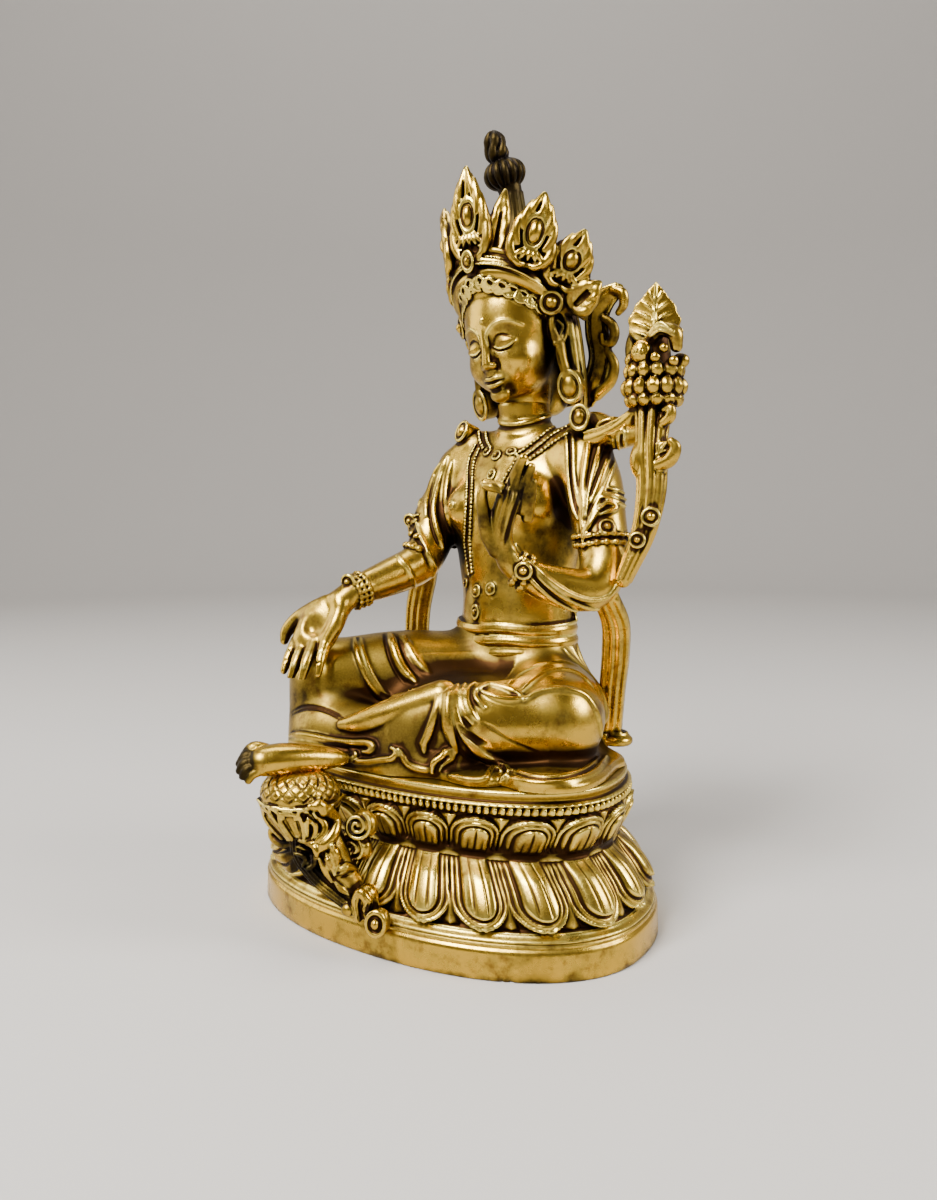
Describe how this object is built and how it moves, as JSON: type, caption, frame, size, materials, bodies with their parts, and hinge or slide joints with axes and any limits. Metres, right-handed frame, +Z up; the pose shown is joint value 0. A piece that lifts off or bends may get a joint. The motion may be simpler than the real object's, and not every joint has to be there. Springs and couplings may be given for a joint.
{
  "type": "seated goddess figure on a lotus plinth",
  "caption": "Seated gilt-bronze goddess on an oval double-lotus plinth, one hand raised, one over the knee, one foot on a small lotus.",
  "frame": {"origin": "centre of the plinth's flat underside", "axes": "+Z up through the finial, the figure's front towards -Y, her left hand towards +X"},
  "size_m": [0.0996, 0.0867, 0.1812],
  "materials": {
    "gilt_bronze": "worn fire gilding over cast bronze, dark in the hollows"
  },
  "bodies": {
    "root": {"figure": "gilt_bronze", "plinth": "gilt_bronze"}
  },
  "joints": []
}
